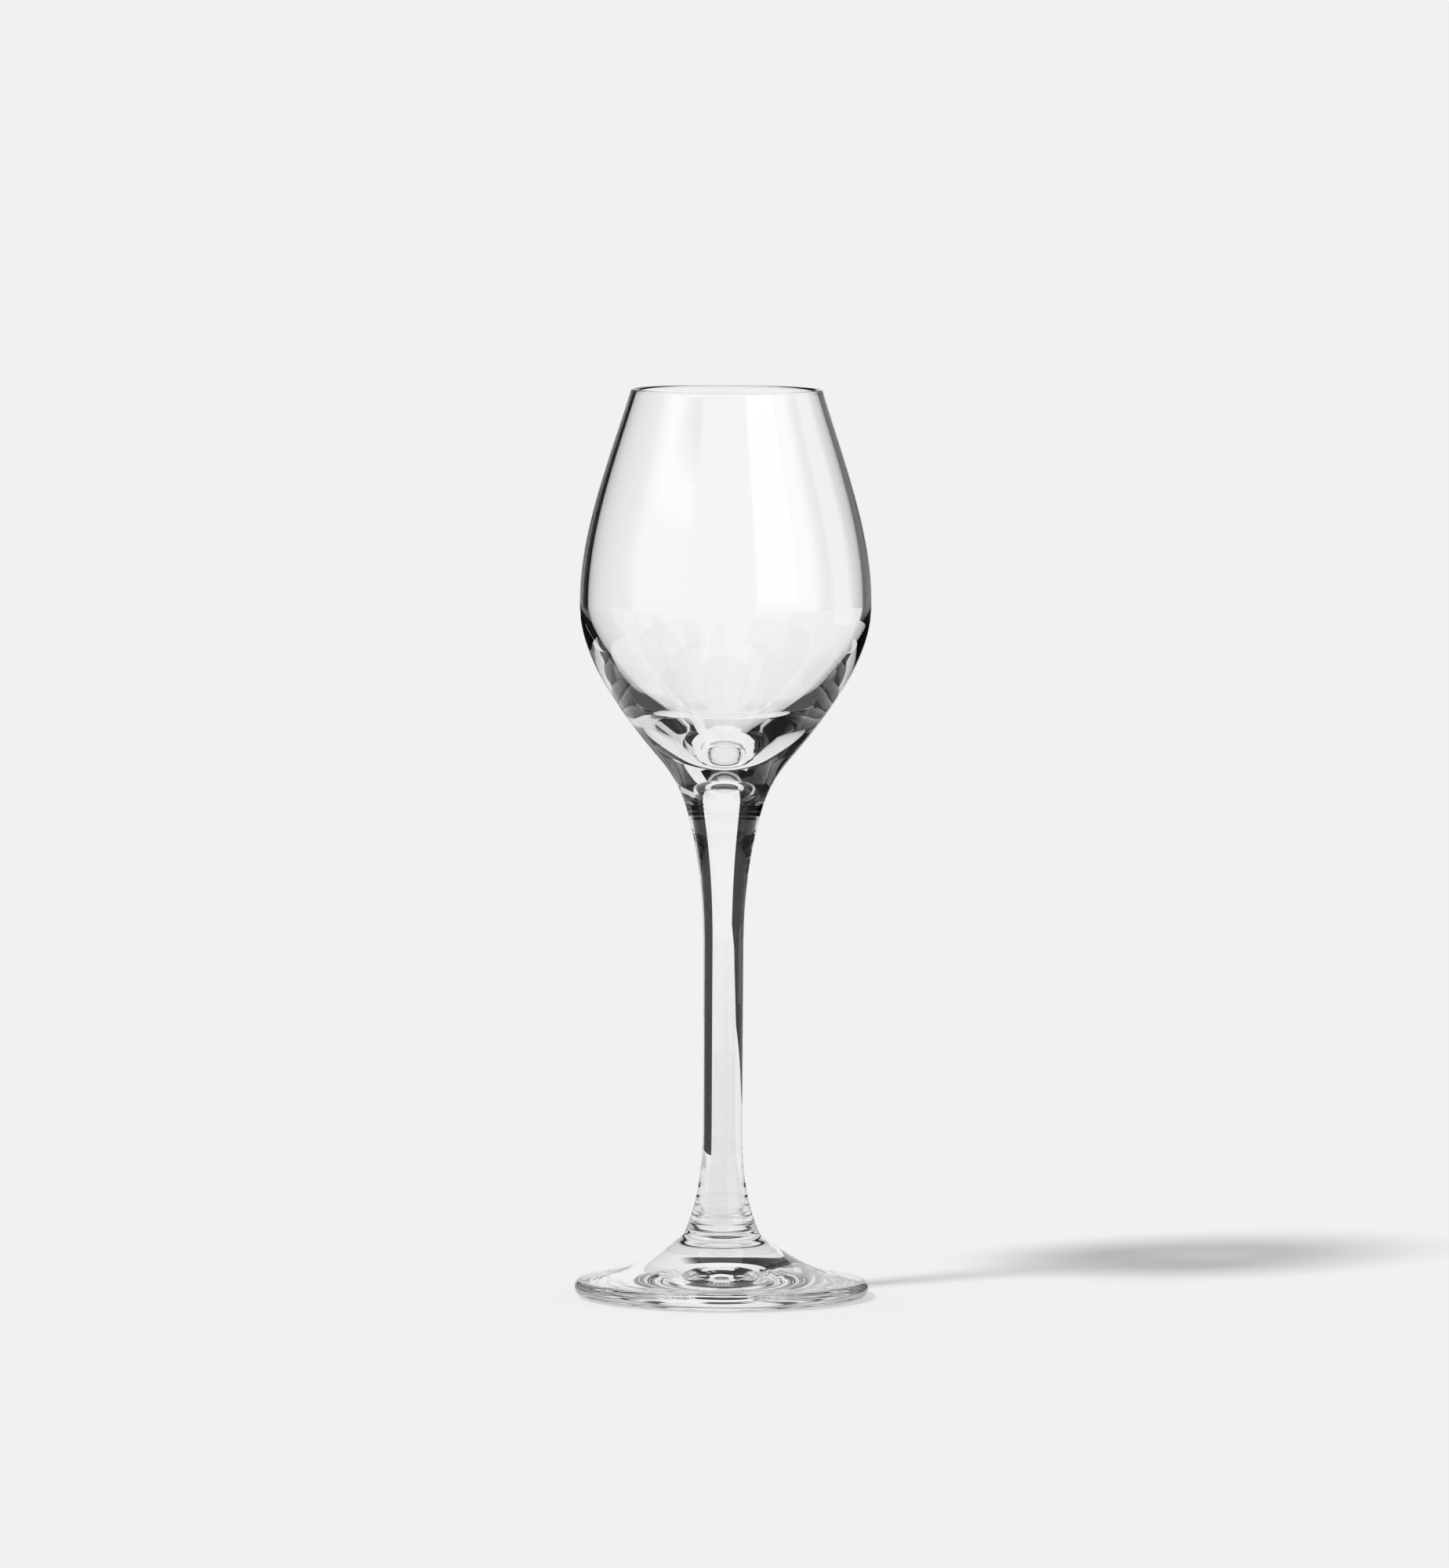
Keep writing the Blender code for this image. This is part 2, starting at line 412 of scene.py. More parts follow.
def bowl_outline():
    """Cup from its floor to the lip, over the lip, and down the outside to the weld plane."""
    lip = RIM_WALL / 2.0
    lip_height = RIM_HEIGHT - lip
    well = (WELL_RADIUS, WELL_HEIGHT, WELL_RISE)
    belly_inner = (BELLY_HEIGHT, BELLY_RADIUS - BELLY_WALL, 0.0)
    belly_outer = (BELLY_HEIGHT, BELLY_RADIUS, 0.0)
    waist = (WAIST_HEIGHT, WAIST_RADIUS, WAIST_LEAN)
    return joined(
        cover((0.0, CUP_FLOOR, 0.0), well),
        cover(well, (BEND_RADIUS, BEND_HEIGHT, BEND_RISE)),
        wall((BEND_HEIGHT, BEND_RADIUS, 1.0 / BEND_RISE), belly_inner),
        wall(belly_inner, (lip_height, RIM_RADIUS - RIM_WALL, -RIM_LEAN)),
        arc((RIM_RADIUS - lip, lip_height), (lip, lip), 180.0, 0.0, LIP_STEP),
        wall((lip_height, RIM_RADIUS, -RIM_LEAN), belly_outer),
        wall(belly_outer, waist),
        wall(waist, (UPPER_WELD, WELD_RADIUS, UPPER_FLARE_LEAN), FINE_STEP),
        [[0.0, UPPER_WELD]],
    )


print("the bowl's outline has", len(bowl_outline()), "points")

# %% Bowl
CUP_FLUTE_RISE = 0.00001
CUP_FLUTE_HEIGHT = UPPER_WELD + 0.0205
CUP_FLUTE_REACH = 0.004
CUP_FLUTES = ((9, 300.0, 0.0, 1.0), (14, -400.0, 0.0, 0.6))
MID_WALL_RADIUS = 0.0165
MID_WALL_HEIGHT = 0.112
MID_WALL_LEAN = 0.79


def bowl_skin(radius, height, turn):
    """The neck's rings, and shallow flutes round the inside of the cup, above its well. The inside is
    what lies within a cone halfway through the glass of the lower bowl."""
    inside = radius < MID_WALL_RADIUS + MID_WALL_LEAN * (height - MID_WALL_HEIGHT)
    place = bell(height, CUP_FLUTE_HEIGHT, CUP_FLUTE_REACH)
    flutes = CUP_FLUTE_RISE * inside * place * slanted_waves(CUP_FLUTES, height, turn)
    return neck_rings(height, turn) + flutes


bowl = turned("bowl_glass", bowl_outline(), bowl_skin, weld_last=True)

# %% [markdown]
# Now the glass. Even clear glass isn't one flat tint: it is stirred and drawn while it is thick as
# honey, and fine cords of slightly different melt stay in it, long and upright in a drawn stem, rounder
# in a blown bowl. All three pieces have them, so they are one node group with named sockets, which
# reads Object coordinates and puts out the tint and the roughness of the polish.

# %% Helpers for nodes
def add(tree, kind, **settings):
    """A new node of a kind, with its settings given by name."""
    node = tree.nodes.new(kind)
    for name, value in settings.items():
        setattr(node, name, value)
    return node


def times(tree, first, second):
    """Product of two values."""
    product = add(tree, "ShaderNodeMath", operation="MULTIPLY")
    tree.links.new(first, product.inputs[0])
    tree.links.new(second, product.inputs[1])
    return product.outputs[0]


def new_group(name, inputs, outputs):
    """An empty node group with named sockets, given as name and kind, and its two end nodes."""
    tree = bpy.data.node_groups.new(name, "ShaderNodeTree")
    for label, kind in inputs.items():
        tree.interface.new_socket(label, in_out="INPUT", socket_type="NodeSocket" + kind)
    for label, kind in outputs.items():
        tree.interface.new_socket(label, in_out="OUTPUT", socket_type="NodeSocket" + kind)
    return tree, add(tree, "NodeGroupInput"), add(tree, "NodeGroupOutput")


print("node helpers are ready")

# %% Cords in the glass
CORD_LOW = 0.35
CORD_HIGH = 0.65


def glass_cords_group():
    """Noise in Object coordinates, whose height is first multiplied by Draw so that a small Draw makes
    long upright cords. Spread to the range from 0 to 1, it blends Clear into Cord for the Tint, and
    it is multiplied by Haze for the Roughness."""
    inputs = {"Clear": "Color", "Cord": "Color", "Fineness": "Float", "Draw": "Float", "Haze": "Float"}
    tree, given, result = new_group("glass_cords", inputs, {"Tint": "Color", "Roughness": "Float"})
    place = add(tree, "ShaderNodeTexCoord")
    stretch = add(tree, "ShaderNodeCombineXYZ")
    stretch.inputs["X"].default_value = 1.0
    stretch.inputs["Y"].default_value = 1.0
    drawn = add(tree, "ShaderNodeVectorMath", operation="MULTIPLY")
    noise = add(tree, "ShaderNodeTexNoise")
    spread = add(tree, "ShaderNodeMapRange")
    spread.inputs["From Min"].default_value = CORD_LOW
    spread.inputs["From Max"].default_value = CORD_HIGH
    blend = add(tree, "ShaderNodeMix", data_type="RGBA")
    factor, clear, cord = blend.inputs[0], blend.inputs[6], blend.inputs[7]
    tree.links.new(given.outputs["Draw"], stretch.inputs["Z"])
    tree.links.new(place.outputs["Object"], drawn.inputs[0])
    tree.links.new(stretch.outputs["Vector"], drawn.inputs[1])
    tree.links.new(drawn.outputs["Vector"], noise.inputs["Vector"])
    tree.links.new(given.outputs["Fineness"], noise.inputs["Scale"])
    tree.links.new(noise.outputs["Fac"], spread.inputs["Value"])
    tree.links.new(spread.outputs["Result"], factor)
    tree.links.new(given.outputs["Clear"], clear)
    tree.links.new(given.outputs["Cord"], cord)
    tree.links.new(blend.outputs[2], result.inputs["Tint"])
    hazed = times(tree, spread.outputs["Result"], given.outputs["Haze"])
    tree.links.new(hazed, result.inputs["Roughness"])
    return tree


GLASS_CORDS = glass_cords_group()
print("group", GLASS_CORDS.name, "has", len(GLASS_CORDS.nodes), "nodes")

# %% [markdown]
# Clear glass is one Principled shader with full transmission. A lamp would throw a black shadow
# through it, because a straight shadow ray can't follow a bent path. So shadow rays meet a Transparent
# shader instead, whose grey says how much light each skin lets through. The solid base of the bowl
# gathers light like a lens and throws a paler shadow than the wall above it, so the grey changes with
# the height.

# %% Glass material
GLASS_IOR = 1.5
CLEAR_TINT = (0.996, 0.995, 0.999, 1.0)
CORD_TINT = (0.989, 0.988, 0.994, 1.0)
HAZE = 0.004


def shadow_glass(tree, stations):
    """Transparent shader for shadow rays between two stations (height, share): the share of light that
    it lets through goes evenly from the lower one to the upper one, and stays level beyond them."""
    (low, share_low), (high, share_high) = stations
    place = add(tree, "ShaderNodeTexCoord")
    parts = add(tree, "ShaderNodeSeparateXYZ")
    share = add(tree, "ShaderNodeMapRange")
    share.inputs["From Min"].default_value = low
    share.inputs["From Max"].default_value = high
    share.inputs["To Min"].default_value = share_low
    share.inputs["To Max"].default_value = share_high
    clear = add(tree, "ShaderNodeBsdfTransparent")
    tree.links.new(place.outputs["Object"], parts.inputs[0])
    tree.links.new(parts.outputs["Z"], share.inputs["Value"])
    tree.links.new(share.outputs["Result"], clear.inputs["Color"])
    return clear


def glass_material(name, fineness, draw, stations):
    """Principled glass with cords of a fineness and a draw, and for shadow rays the Transparent shader
    between two stations."""
    material = bpy.data.materials.new(name)
    material.use_nodes = True
    tree = material.node_tree
    shader = tree.nodes["Principled BSDF"]
    shader.inputs["IOR"].default_value = GLASS_IOR
    shader.inputs["Transmission Weight"].default_value = 1.0
    cords = add(tree, "ShaderNodeGroup", node_tree=GLASS_CORDS)
    cords.inputs["Clear"].default_value = CLEAR_TINT
    cords.inputs["Cord"].default_value = CORD_TINT
    cords.inputs["Fineness"].default_value = fineness
    cords.inputs["Draw"].default_value = draw
    cords.inputs["Haze"].default_value = HAZE
    tree.links.new(cords.outputs["Tint"], shader.inputs["Base Color"])
    tree.links.new(cords.outputs["Roughness"], shader.inputs["Roughness"])
    path = add(tree, "ShaderNodeLightPath")
    mix = add(tree, "ShaderNodeMixShader")
    tree.links.new(path.outputs["Is Shadow Ray"], mix.inputs["Fac"])
    tree.links.new(shader.outputs["BSDF"], mix.inputs[1])
    tree.links.new(shadow_glass(tree, stations).outputs["BSDF"], mix.inputs[2])
    tree.links.new(mix.outputs["Shader"], tree.nodes["Material Output"].inputs["Surface"])
    return material


def weld_lid_material():
    """A lid inside the glass that shows nothing at all."""
    material = bpy.data.materials.new("weld_lid")
    material.use_nodes = True
    tree = material.node_tree
    tree.nodes.remove(tree.nodes["Principled BSDF"])
    clear = add(tree, "ShaderNodeBsdfTransparent")
    tree.links.new(clear.outputs["BSDF"], tree.nodes["Material Output"].inputs["Surface"])
    return material


print("glass bends light with an index of", GLASS_IOR)

# %% [markdown]
# Each piece gets its own glass: round cords in the blown bowl, long upright ones in the drawn stem,
# and even ones in the pressed foot. A pair of numbers gives the fineness of the cords and their draw.
# Each piece then rides on the one body of the frame and takes the place of its solid.

# %% Dress the three pieces
BLOWN_CORDS = (60.0, 0.6)
DRAWN_CORDS = (400.0, 0.05)
PRESSED_CORDS = (120.0, 1.0)
BOWL_SHADOW = ((UPPER_WELD + 0.028, 0.94), (UPPER_WELD + 0.048, 0.53))
STEM_SHADOW = ((LOWER_WELD, 0.58), (UPPER_WELD, 0.7))
FOOT_SHADOW = ((0.0, 0.84), (LOWER_WELD, 0.88))

bowl_glass = glass_material("bowl_clear_glass", *BLOWN_CORDS, BOWL_SHADOW)
stem_glass = glass_material("stem_clear_glass", *DRAWN_CORDS, STEM_SHADOW)
foot_glass = glass_material("foot_clear_glass", *PRESSED_CORDS, FOOT_SHADOW)
weld_lid = weld_lid_material()

dressed = (
    (bowl, bowl_glass, "bowl"),
    (stem, stem_glass, "stem"),
    (foot, foot_glass, "foot"),
)
for piece, glass, node in dressed:
    piece.data.materials.append(glass)
    piece.data.materials.append(weld_lid)
    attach(piece, "root")
    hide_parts(node)
    print(piece.name, "takes the place of", node)

# %% [markdown]
# The table: a sheet of pale paper that runs out of sight, and a sky of the same tone, so that no
# horizon shows. The sky lights the paper with a part of the light, and one soft lamp from the front
# left gives the rest and throws the shadow. Together they light a level sheet with a strength of one,
# at which a colour renders as it is written. The paper lies a hair below the foot, because two
# surfaces in one plane flicker.

# %% Paper floor
PAPER = 0.879
PAPER_REACH = 40.0
PAPER_DROP = 0.0003


def paper_floor():
    """A flat square sheet on the ground."""
    material = bpy.data.materials.new("pale_paper")
    material.use_nodes = True
    shader = material.node_tree.nodes["Principled BSDF"]
    shader.inputs["Base Color"].default_value = (PAPER, PAPER, PAPER, 1.0)
    shader.inputs["Roughness"].default_value = 1.0
    shader.inputs["Specular IOR Level"].default_value = 0.0
    corners = np.array([(-1.0, -1.0, 0.0), (1.0, -1.0, 0.0), (1.0, 1.0, 0.0), (-1.0, 1.0, 0.0)])
    mesh = bpy.data.meshes.new("floor")
    mesh.from_pydata((corners * PAPER_REACH - (0.0, 0.0, PAPER_DROP)).tolist(), [], [(0, 1, 2, 3)])
    mesh.materials.append(material)
    sheet = bpy.data.objects.new("floor", mesh)
    scene.collection.objects.link(sheet)


paper_floor()
print("paper of tone", PAPER)

# %% Even sky
SKY_SHARE = 0.4


def even_sky():
    """A sky that lights the paper evenly, and shows the paper's own tone to the camera and to rays
    that come off or through the glass."""
    world = bpy.data.worlds.new("even_sky")
    scene.world = world
    world.use_nodes = True
    tree = world.node_tree
    seen = tree.nodes["Background"]
    seen.inputs["Color"].default_value = (PAPER, PAPER, PAPER, 1.0)
    fill = add(tree, "ShaderNodeBackground")
    fill.inputs["Color"].default_value = (1.0, 1.0, 1.0, 1.0)
    fill.inputs["Strength"].default_value = SKY_SHARE
    path = add(tree, "ShaderNodeLightPath")
    mirrored = add(tree, "ShaderNodeMath", operation="MAXIMUM")
    through = add(tree, "ShaderNodeMath", operation="MAXIMUM")
    mix = add(tree, "ShaderNodeMixShader")
    tree.links.new(path.outputs["Is Camera Ray"], mirrored.inputs[0])
    tree.links.new(path.outputs["Is Glossy Ray"], mirrored.inputs[1])
    tree.links.new(mirrored.outputs[0], through.inputs[0])
    tree.links.new(path.outputs["Is Transmission Ray"], through.inputs[1])
    tree.links.new(through.outputs[0], mix.inputs["Fac"])
    tree.links.new(fill.outputs[0], mix.inputs[1])
    tree.links.new(seen.outputs[0], mix.inputs[2])
    tree.links.new(mix.outputs[0], tree.nodes["World Output"].inputs["Surface"])


even_sky()
print("the sky gives", SKY_SHARE, "of the light")

# %% Window lamp
LAMP_ELEVATION = math.radians(50.2)
LAMP_TURN = math.radians(38.3)
LAMP_SPREAD = math.radians(9.0)


def window_lamp():
    """A far lamp whose light travels to the right and back, turned by LAMP_TURN from straight right. Its
    strength is such that a level sheet gets the share that the sky leaves."""
    lamp = bpy.data.lights.new("window", "SUN")
    lamp.energy = math.pi * (1.0 - SKY_SHARE) / math.sin(LAMP_ELEVATION)
    lamp.angle = LAMP_SPREAD
    level = math.cos(LAMP_ELEVATION)
    to_right = math.cos(LAMP_TURN) * level
    to_back = math.sin(LAMP_TURN) * level
    shines = Vector((to_right, to_back, -math.sin(LAMP_ELEVATION)))
    window = bpy.data.objects.new("window", lamp)
    window.rotation_euler = shines.to_track_quat("-Z", "Y").to_euler()
    window.visible_glossy = False
    window.visible_transmission = False
    scene.collection.objects.link(window)


window_lamp()
print("the lamp stands", round(math.degrees(LAMP_ELEVATION), 1), "degrees high")

# %% [markdown]
# A clear glass has no colour of its own. All that is seen of it is the room around it, bent, so a
# photographer sets black flags and white cards round the glass, just out of the picture.
# In a real studio one card shows in many places at once. Here each card is shown only to rays that came
# by one road through the glass, so that a dark line can be set in the stem without another in the bowl.
# Cycles counts for each ray how many skins it has passed (Transmission Depth), how often it was
# mirrored (Glossy Depth), and both together (Ray Depth). Two skins are a way through solid glass, four
# are a way through the bowl and its hollow. The counts don't depend on where the camera stands.

# %% Roads through the glass
PASSED, MIRRORED, TURNS = "Transmission Depth", "Glossy Depth", "Ray Depth"
MOST = 16
COUNT_MARGIN = 0.25
ANY_ROAD = {}
OFF_THE_OUTSIDE = {PASSED: (0, 0), TURNS: (1, 1)}
OFF_A_SKIN = {PASSED: (0, 2), TURNS: (0, 3)}
MIRRORED_ANYWHERE = {PASSED: (0, 2), MIRRORED: (1, MOST)}
UP_TO_ONE_BODY = {PASSED: (0, 2)}
ONE_BODY_PLAINLY = {PASSED: (0, 2), TURNS: (0, 2)}
STRAIGHT_THROUGH_SOLID = {PASSED: (2, 2), MIRRORED: (0, 0)}
SOLID_MIRRORED_ONCE = {PASSED: (2, 2), MIRRORED: (1, 1)}
SOLID_MIRRORED_TWICE = {PASSED: (2, 2), MIRRORED: (2, 2)}
SOLID_MIRRORED = {PASSED: (2, 2), MIRRORED: (1, MOST)}
SOLID_MIRRORED_OFTEN = {PASSED: (2, 2), MIRRORED: (2, MOST)}
THROUGH_BOWL = {PASSED: (4, 4), MIRRORED: (0, 0)}
THROUGH_BOWL_MIRRORED = {PASSED: (4, 4), MIRRORED: (1, 1)}
DOWN_TO_PAPER = {PASSED: (2, 4)}


def taken(tree, road):
    """One for the rays whose counts all lie in the road's ranges, else nothing."""
    path = add(tree, "ShaderNodeLightPath")
    product = None
    for count, (least, most) in road.items():
        inside = add(tree, "ShaderNodeMath", operation="COMPARE")
        inside.inputs[1].default_value = (least + most) / 2.0
        inside.inputs[2].default_value = (most - least) / 2.0 + COUNT_MARGIN
        tree.links.new(path.outputs[count], inside.inputs[0])
        product = inside.outputs[0] if product is None else times(tree, product, inside.outputs[0])
    return product


print("straight through the stem is", STRAIGHT_THROUGH_SOLID)

# %% [markdown]
# A card is a black Principled surface that glows at one level. Its Alpha is the product of a mask with
# soft edges and of the road that a ray has taken, so it isn't there at all for any other ray.
# All cards use the same mask, so it is a node group that reads the card's own UV map.

# %% Card material
def soft_edge_group():
    """Mask of a card: one in the middle, falling smoothly to nothing over a share of each side."""
    inputs = {"Across": "Float", "Up": "Float"}
    tree, given, result = new_group("soft_edge", inputs, {"Mask": "Float"})
    where = add(tree, "ShaderNodeUVMap")
    parts = add(tree, "ShaderNodeSeparateXYZ")
    tree.links.new(where.outputs["UV"], parts.inputs[0])
    masks = []
    for axis, share in (("X", "Across"), ("Y", "Up")):
        fold = add(tree, "ShaderNodeMath", operation="PINGPONG")
        fold.inputs[1].default_value = 0.5
        rise = add(tree, "ShaderNodeMapRange", interpolation_type="SMOOTHSTEP")
        tree.links.new(parts.outputs[axis], fold.inputs[0])
        tree.links.new(fold.outputs[0], rise.inputs["Value"])
        tree.links.new(given.outputs[share], rise.inputs["From Max"])
        masks.append(rise.outputs["Result"])
    tree.links.new(times(tree, *masks), result.inputs["Mask"])
    return tree


SOFT_EDGE = soft_edge_group()


def card_material(name, level, fade, road):
    """Glow of a card with soft edges, shown only to the rays that took a road."""
    material = bpy.data.materials.new(name)
    material.use_nodes = True
    material.cycles.emission_sampling = "NONE"
    tree = material.node_tree
    shader = tree.nodes["Principled BSDF"]
    shader.inputs["Base Color"].default_value = (0.0, 0.0, 0.0, 1.0)
    shader.inputs["Specular IOR Level"].default_value = 0.0
    shader.inputs["Emission Color"].default_value = (1.0, 1.0, 1.0, 1.0)
    shader.inputs["Emission Strength"].default_value = level
    edge = add(tree, "ShaderNodeGroup", node_tree=SOFT_EDGE)
    edge.inputs["Across"].default_value, edge.inputs["Up"].default_value = fade
    mask = edge.outputs["Mask"]
    if road:
        mask = times(tree, mask, taken(tree, road))
    tree.links.new(mask, shader.inputs["Alpha"])
    return material


print("group", SOFT_EDGE.name, "has", len(SOFT_EDGE.nodes), "nodes")

# %% [markdown]
# A card is a strip of faces between two rows of points: the lower and the upper edge of an upright
# card, or the near and the far edge of a level one. Turns are degrees to the right from straight behind
# the glass, and distances are measured from its axis. The camera, the paper and the lamp don't see them.

# %% Card makers
CARD_STEPS = 48
FULL_TURN = (-180, 180)
TABLE_LIFT = 0.0005
HARD = (0.00001, 0.00001)
BLACK = 0.012
DIM = 0.03
cards = []


def lay_card(name, near_edge, far_edge, level, road, fade):
    """A card between two rows of points, with a UV map that runs along the edges and across them."""
    count = len(near_edge)
    i = np.arange(count - 1)
    faces = np.column_stack((i, i + 1, count + i + 1, count + i))
    uv = np.column_stack((np.tile(np.linspace(0.0, 1.0, count), 2), np.repeat([0.0, 1.0], count)))
    mesh = bpy.data.meshes.new(name)
    mesh.from_pydata(np.vstack((near_edge, far_edge)).tolist(), [], faces.tolist())
    mesh.uv_layers.new(name="UVMap").data.foreach_set("uv", uv[faces.ravel()].ravel())
    mesh.materials.append(card_material(name, level, fade, road))
    piece = bpy.data.objects.new(name, mesh)
    scene.collection.objects.link(piece)
    piece.visible_camera = False
    piece.visible_diffuse = False
    piece.visible_shadow = False
    cards.append(name)


def bent_card(name, stations, level, road, fade=HARD):
    """An upright card through stations (turn, distance, low, high): its points are the distance times
    the sine and the cosine of the turn, and all is linear in the turn between two stations."""
    turn, distance, low, high = np.array(stations, float).T
    fine = np.linspace(turn[0], turn[-1], CARD_STEPS + 1)
    reach, bottom, top = (np.interp(fine, turn, values) for values in (distance, low, high))
    x = reach * np.sin(np.radians(fine))
    y = reach * np.cos(np.radians(fine))
    lay_card(name, np.column_stack((x, y, bottom)), np.column_stack((x, y, top)), level, road, fade)


def upright_card(name, turns, distance, heights, level, road, fade=HARD):
    """A card bent round the glass at one distance, between two heights."""
    bent_card(name, [(turn, distance, *heights) for turn in turns], level, road, fade)


def level_card(name, turns, reach, level, road, fade=HARD, height=TABLE_LIFT):
    """A level card: a stretch of a ring round the glass, from a near to a far distance, at a height.
    A near distance below zero starts it on the other side of the glass."""
    fine = np.radians(np.linspace(turns[0], turns[1], CARD_STEPS + 1))
    around = np.column_stack((np.sin(fine), np.cos(fine), 0.0 * fine))
    lift = np.array([0.0, 0.0, height])
    lay_card(name, reach[0] * around + lift, reach[1] * around + lift, level, road, fade)


print("black cards glow at", BLACK, "and the dim room at", DIM)

# %% [markdown]
# The room is dim to both sides and overhead, which draws the thin dark outline of the bowl: near its
# silhouette the wall mirrors the sides of the room.

# %% Dim room
ROOM_TURNS = (30, 150)
ROOM_REACH = 1.6
WALL_HEIGHTS = (0.0, 1.2)
CEILING_HEIGHTS = (1.2, 3.2)
TABLE_TURNS = (10, 130)
TABLE_START = 0.035
LID_REACH = 0.8
LID_HEIGHT = 2.5

for side, name in ((1, "right"), (-1, "left")):
    turns = sorted(side * turn for turn in ROOM_TURNS)
    table_turns = sorted(side * turn for turn in TABLE_TURNS)
    upright_card("room_" + name, turns, ROOM_REACH, WALL_HEIGHTS, DIM, MIRRORED_ANYWHERE)
    upright_card("ceiling_" + name, turns, ROOM_REACH, CEILING_HEIGHTS, DIM, ANY_ROAD)
    level_card("table_" + name, table_turns, (TABLE_START, ROOM_REACH), BLACK, OFF_THE_OUTSIDE)
level_card("lid", FULL_TURN, (0.0, LID_REACH), DIM, ANY_ROAD, height=LID_HEIGHT)
print(len(cards), "cards of the room")

# %% [markdown]
# Two black flags behind the glass give the two dark bands along the stem. A round stem bends light
# that enters near its edge to the other side by more than twenty degrees, so a flag that starts there
# is seen as a band with a clear core beside it. A band ends where its rays meet the table before the
# flag, so the distance of the flag sets the length of the band. The left flag comes closer as it runs
# round, so its band draws in to the edge of the stem on its way down. A pale panel ends the right flag,
# and a grey stretch of table shades the core. A station is (turn, distance, low, high).

# %% Bands of the stem
FLAG_LEFT = (
    (-76, 0.36, 0.0, 0.6),
    (-60, 0.395, 0.0, 0.7),
    (-45, 0.49, 0.0, 0.8),
    (-29, 0.575, 0.0, 0.9),
    (-24, 0.585, 0.011, 0.9),
    (-20.5, 0.59, 0.02, 0.9),
    (-16, 0.6, 0.042, 0.9),
)
PANEL_TONE = 0.7
TABLE_TONE = 0.74

upright_card("flag_right", (22.5, 60), 0.16, (0.0, 0.35), BLACK, ONE_BODY_PLAINLY)
bent_card("flag_left", FLAG_LEFT, BLACK, UP_TO_ONE_BODY)
upright_card("panel_right", (61, 86), 0.6, (0.0, 0.5), PANEL_TONE, UP_TO_ONE_BODY)
level_card("table_grey", (-30, 30), (-1.3, 1.3), TABLE_TONE, STRAIGHT_THROUGH_SOLID, (0.1, 0.5))
print(len(cards), "cards with those of the stem")

# %% [markdown]
# In front of the glass stand a wide white card, two soft boxes and a window. The bowl mirrors them as
# the tall bright strip on the right, the broad sheen on the left and the oval high up on it.
# A row gives a card's name, turns, distance, heights, level and the soft share of its edges.

# %% Lights in front
FRONT_CARDS = (
    ("front", (96, 264), 1.5, (-0.16, 1.02), 1.0, (0.05, 0.13)),
    ("soft_box_right", (118, 157), 0.95, (0.0, 0.9), 2.0, (0.08, 0.2)),
    ("soft_box_spill", (90, 134), 1.0, (0.02, 0.8), 1.6, (0.5, 0.15)),
    ("soft_box_left", (-158, -84), 1.2, (0.05, 0.9), 1.25, (0.4, 0.25)),
    ("window_left", (-155, -104), 1.0, (0.5, 0.74), 1.75, (0.2, 0.25)),
)

for name, turns, distance, heights, level, fade in FRONT_CARDS:
    upright_card(name, turns, distance, heights, level, OFF_A_SKIN, fade)
level_card("table_front", (92, 268), (0.06, 1.5), 1.0, OFF_A_SKIN, (0.1, 0.02))
print(len(cards), "cards with the lights in front")

# %% [markdown]
# Behind the bowl a stretch of wall and of table glow a little brighter than the paper: painted light,
# seen only through the bowl, which makes up for what the four skins of the bowl take away.

# %% Light behind the bowl
BEHIND_GLOW = 0.93
# painted light: glowing sheets behind the bowl, seen only by rays that passed through it
upright_card("back_light", (-24, 24), 1.0, (0.0, 0.6), BEHIND_GLOW, THROUGH_BOWL)
level_card("table_back_glow", (-60, 60), (0.03, 1.0), BEHIND_GLOW, THROUGH_BOWL)
print(len(cards), "cards with those behind the bowl")

# %% [markdown]
# The solid base of the bowl is a lens that looks up and to the sides. Flags high behind the glass and
# low beside it give its dark wedges, the black bar over the stem and the dark frame round the neck.
# A row gives a flag's name, turns, heights and road.

# %% Flags for the solid base
BASE_FLAG_DISTANCE = 0.4
BASE_FLAGS = (
    ("flag_top", (-30, 30), (0.463, 0.84), ONE_BODY_PLAINLY),
    ("flag_eye", (-30, 30), (0.55, 0.84), SOLID_MIRRORED_ONCE),
    ("flag_bar", (-30, 30), (0.36, 0.7), THROUGH_BOWL_MIRRORED),
    ("flag_neck", (-17, 17), (0.14, 0.23), SOLID_MIRRORED_TWICE),
    ("flag_rim", (-40, 40), (0.03, 0.4), SOLID_MIRRORED_ONCE),
)

for name, turns, heights, road in BASE_FLAGS:
    upright_card(name, turns, BASE_FLAG_DISTANCE, heights, BLACK, road)
upright_card("flag_wedge", (-80, -20), 0.2, (0.0, 0.13), BLACK, SOLID_MIRRORED_ONCE)
print(len(cards), "cards with those of the base")

# %% [markdown]
# The foot mirrors what stands close round it in its own underside. A low ring of pale card is set just
# outside its edge, with a few dark pieces in front of it, for the dark strokes round the hub and along
# the edge. A row gives a card's name, turns, distance, heights, level, road and soft share.

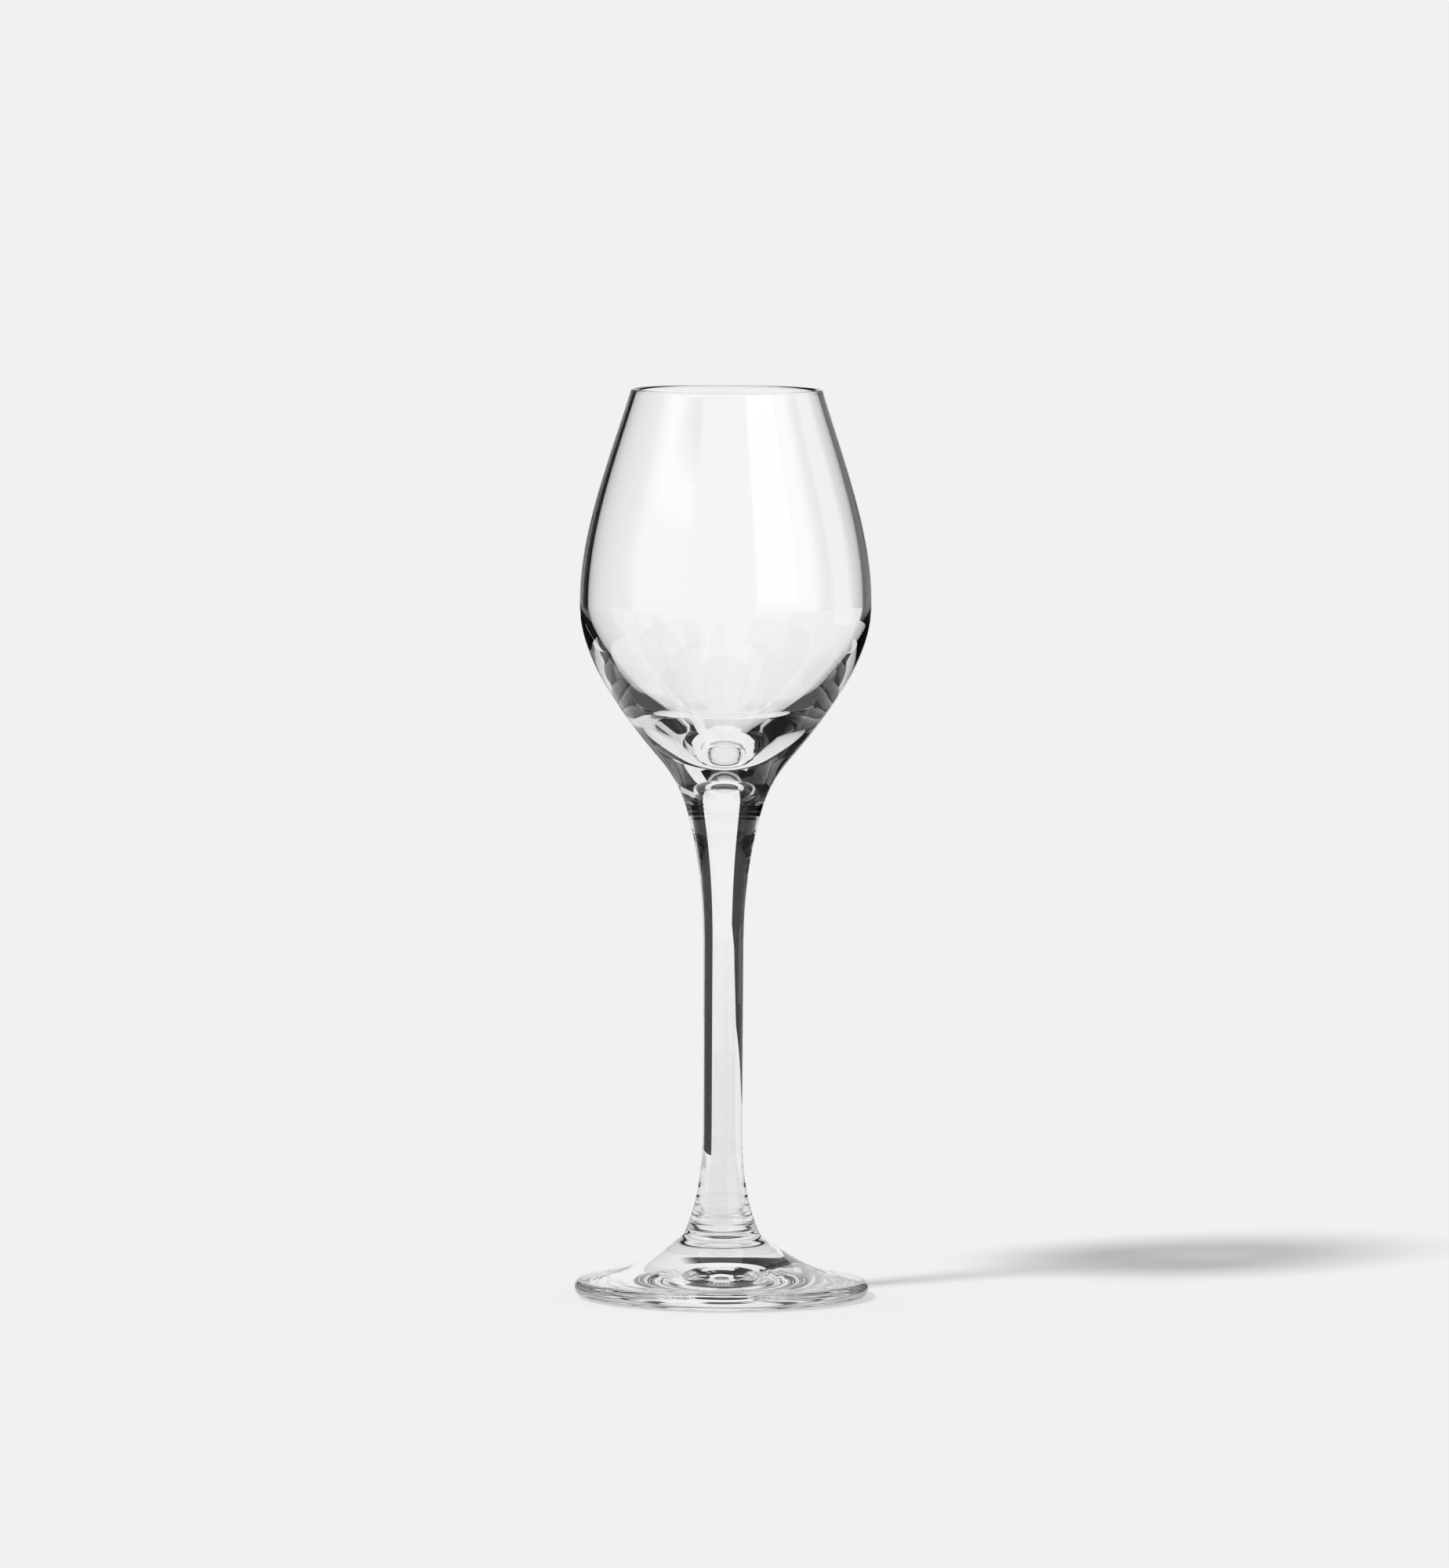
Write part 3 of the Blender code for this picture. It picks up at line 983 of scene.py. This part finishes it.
# %% Cards round the foot
FOOT_PALE = 0.9
FOOT_GREY = 0.3
FOOT_CARDS = (
    ("foot_right", (8, 180), 0.06, (0.0, 0.05), FOOT_PALE, SOLID_MIRRORED, HARD),
    ("foot_left", (-180, 8), 0.06, (0.0, 0.05), FOOT_PALE, SOLID_MIRRORED, HARD),
    ("foot_dark", (-36, 7), 0.055, (0.0095, 0.031), BLACK, SOLID_MIRRORED_ONCE, (0.1, 0.05)),
    ("foot_grey", (-110, -20), 0.056, (0.0, 0.04), FOOT_GREY, SOLID_MIRRORED, (0.2, 0.2)),
    ("foot_back", (-42, 42), 0.045, (0.0, 0.04), BLACK, SOLID_MIRRORED_OFTEN, (0.1, 0.05)),
    ("foot_front", (114, 246), 0.053, (0.0, 0.04), BLACK, SOLID_MIRRORED_OFTEN, (0.1, 0.1)),
)

for name, turns, distance, heights, level, road, fade in FOOT_CARDS:
    upright_card(name, turns, distance, heights, level, road, fade)
print(len(cards), "cards with those round the foot")

# %% [markdown]
# Under the foot lies a faint painted shade, a sheet seen only through the glass, with a soft darker ring
# of painted shade where the resting ring touches the paper.

# %% Painted shade under the foot
CONTACT_REACH = (0.0205, 0.0295)
CONTACT_TONE = 0.6
CONTACT_FADE = (HARD[0], 0.4)
CONTACT_HEIGHT = -0.00005
SHADE_REACH = (0.0, 0.1)
SHADE_TONE = 0.83
SHADE_HEIGHT = -0.0001

# painted shadow: a darker ring where the resting ring meets the paper, seen only through the glass
level_card("painted_ring_shade", FULL_TURN, CONTACT_REACH, CONTACT_TONE, DOWN_TO_PAPER, CONTACT_FADE, CONTACT_HEIGHT)
# painted shade: a sheet a little darker than the paper, seen only through the glass
level_card("painted_shade_under_foot", FULL_TURN, SHADE_REACH, SHADE_TONE, DOWN_TO_PAPER, height=SHADE_HEIGHT)
print(len(cards), "cards in all")

# %% [markdown]
# The camera stands well back with a long lens, a little above the rim, and looks down by four degrees.
# From there the upright lines stay upright, and the rim and the foot show as thin ellipses. It is
# rolled by a third of a degree, as a hand-set tripod is.

# %% Camera
CAMERA_PLACE = Vector((0.0, -2.4066, 0.2771))
CAMERA_PITCH = math.radians(4.235)
CAMERA_ROLL = math.radians(0.344)
LENS_LENGTH = 287.66
SENSOR_WIDTH = 36.0
FARTHEST_SEEN = 100.0

camera_data = bpy.data.cameras.new("camera")
camera_data.lens = LENS_LENGTH
camera_data.sensor_width = SENSOR_WIDTH
camera_data.clip_end = FARTHEST_SEEN
camera = bpy.data.objects.new("camera", camera_data)
camera.location = CAMERA_PLACE
tilt = Matrix.Rotation(math.pi / 2.0 - CAMERA_PITCH, 3, "X") @ Matrix.Rotation(CAMERA_ROLL, 3, "Z")
camera.rotation_euler = tilt.to_euler()
scene.collection.objects.link(camera)
scene.camera = camera
print("the camera stands", round(CAMERA_PLACE.length, 2), "metres away")

# %% [markdown]
# Light in the foot is turned back many times before it leaves, and it passes many cards that aren't
# there for it. The limits on bounces are raised so that no ray ends black on its way.

# %% Limits on bounces
MOST_TURNS = 32

scene.view_settings.view_transform = "Standard"
scene.cycles.max_bounces = MOST_TURNS
scene.cycles.transmission_bounces = MOST_TURNS
scene.cycles.glossy_bounces = MOST
scene.cycles.transparent_max_bounces = MOST_TURNS
print("a ray may turn", scene.cycles.max_bounces, "times")
